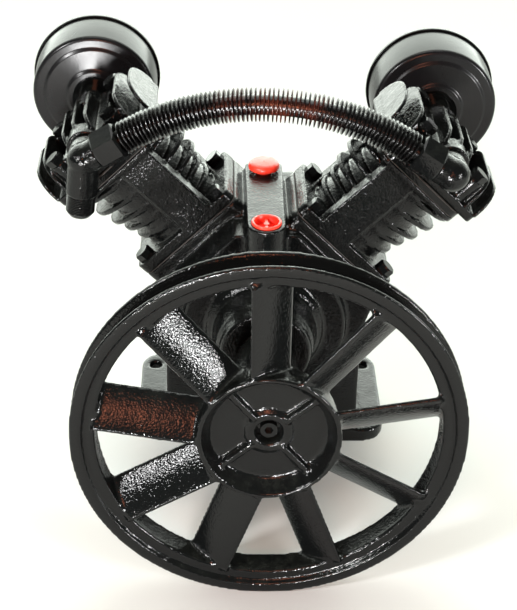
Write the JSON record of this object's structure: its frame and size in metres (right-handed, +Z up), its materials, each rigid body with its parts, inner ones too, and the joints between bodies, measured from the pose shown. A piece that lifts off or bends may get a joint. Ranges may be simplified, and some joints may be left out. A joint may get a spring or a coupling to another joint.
{
  "type": "belt-driven reciprocating air compressor pump",
  "caption": "Belt-driven V-twin air compressor pump: finned cylinders, finned discharge pipe, round intake filters and a fan-bladed V-belt flywheel on a square-footed crankcase.",
  "frame": {"origin": "centre of the foot's bottom face", "axes": "+Z up, +X towards the right-hand cylinder bank, flywheel and crank axis along Y with the flywheel at -Y"},
  "size_m": [0.4024, 0.3628, 0.36],
  "materials": {
    "black_enamel": "gloss black enamel over rough sand casting",
    "flywheel_enamel": "gloss black enamel over rough iron casting",
    "filter_enamel": "semi-gloss black enamel on pressed sheet steel",
    "painted_fastener": "black enamel over hexagon fasteners, worn at the corners",
    "painted_fitting": "gloss black enamel over brass fittings",
    "painted_copper": "thin black enamel over a finned copper pipe",
    "red_plastic": "bright red moulded plastic",
    "sight_glass": "clear moulded window in a hexagon rim",
    "seal_rubber": "oil-resistant rubber lip seal",
    "gasket_paper": "pressed fibre gasket",
    "filter_paper": "pleated filter element",
    "bearing_steel": "ground bearing steel",
    "forged_steel": "machined forged steel",
    "valve_steel": "ground steel plate",
    "spring_steel": "polished spring steel",
    "ring_iron": "turned cast iron",
    "piston_aluminium": "turned cast aluminium",
    "rod_aluminium": "die-cast aluminium"
  },
  "bodies": {
    "pump": {"crankcase": "black_enamel", "front_bearing": "bearing_steel", "rear_bearing": "bearing_steel", "oil_seal": "seal_rubber", "rear_cover": "black_enamel", "rear_cover_gasket": "gasket_paper", "rear_cover_bolts": "painted_fastener", "sight_glass": "sight_glass", "drain_plug": "painted_fastener", "discharge_tee": "painted_fitting", "discharge_elbow": "painted_fitting", "discharge_pipe": "painted_copper", "pipe_fins": "painted_copper", "left_base_gasket": "gasket_paper", "left_cylinder": "black_enamel", "left_base_bolts": "painted_fastener", "left_head_gaskets": "gasket_paper", "left_valve_plate": "valve_steel", "left_suction_reed": "spring_steel", "left_discharge_reed": "spring_steel", "left_head": "black_enamel", "left_head_bolts": "painted_fastener", "left_filter_neck": "black_enamel", "left_filter_can": "filter_enamel", "left_filter_cap": "filter_enamel", "left_filter_element": "filter_paper", "left_filter_bolt": "painted_fastener", "left_pipe_nut": "painted_fitting", "right_base_gasket": "gasket_paper", "right_cylinder": "black_enamel", "right_base_bolts": "painted_fastener", "right_head_gaskets": "gasket_paper", "right_valve_plate": "valve_steel", "right_suction_reed": "spring_steel", "right_discharge_reed": "spring_steel", "right_head": "black_enamel", "right_head_bolts": "painted_fastener", "right_filter_neck": "black_enamel", "right_filter_can": "filter_enamel", "right_filter_cap": "filter_enamel", "right_filter_element": "filter_paper", "right_filter_bolt": "painted_fastener", "right_pipe_nut": "painted_fitting"},
    "crank": {"crankshaft": "forged_steel", "flywheel_key": "forged_steel", "flywheel": "flywheel_enamel", "flywheel_washer": "painted_fastener", "flywheel_bolt": "painted_fastener"},
    "breather": {"breather_cap": "red_plastic"},
    "filler": {"filler_plug": "red_plastic"},
    "left_piston": {"left_piston": "piston_aluminium", "left_piston_rings": "ring_iron", "left_wrist_pin": "forged_steel"},
    "left_rod": {"left_connecting_rod": "rod_aluminium"},
    "right_piston": {"right_piston": "piston_aluminium", "right_piston_rings": "ring_iron", "right_wrist_pin": "forged_steel"},
    "right_rod": {"right_connecting_rod": "rod_aluminium"}
  },
  "joints": [
    {"name": "crank_spin", "type": "hinge", "parent": "pump", "child": "crank", "pos_m": [0, 0, 0.122], "axis": [0, 1, 0], "continuous": true},
    {"name": "left_piston_slide", "type": "slide", "parent": "pump", "child": "left_piston", "axis": [-0.7071, 0, 0.7071], "range_m": [-0.03808, 0.00792]},
    {"name": "left_rod_swing", "type": "hinge", "parent": "left_piston", "child": "left_rod", "pos_m": [-0.08986, 0.0115, 0.21186], "axis": [0, 1, 0], "range_deg": [-3.5, 20.2], "deforming": ["left_connecting_rod"]},
    {"name": "right_piston_slide", "type": "slide", "parent": "pump", "child": "right_piston", "axis": [0.7071, 0, 0.7071], "range_m": [-0.03808, 0.00792]},
    {"name": "right_rod_swing", "type": "hinge", "parent": "right_piston", "child": "right_rod", "pos_m": [0.08986, -0.0115, 0.21186], "axis": [0, 1, 0], "range_deg": [-20.2, 3.5], "deforming": ["right_connecting_rod"]},
    {"name": "breather_cap_lift", "type": "slide", "parent": "pump", "child": "breather", "axis": [0, 0, 1], "range_m": [0, 0.02]},
    {"name": "filler_plug_lift", "type": "slide", "parent": "pump", "child": "filler", "axis": [0, 0, 1], "range_m": [0, 0.02]}
  ]
}
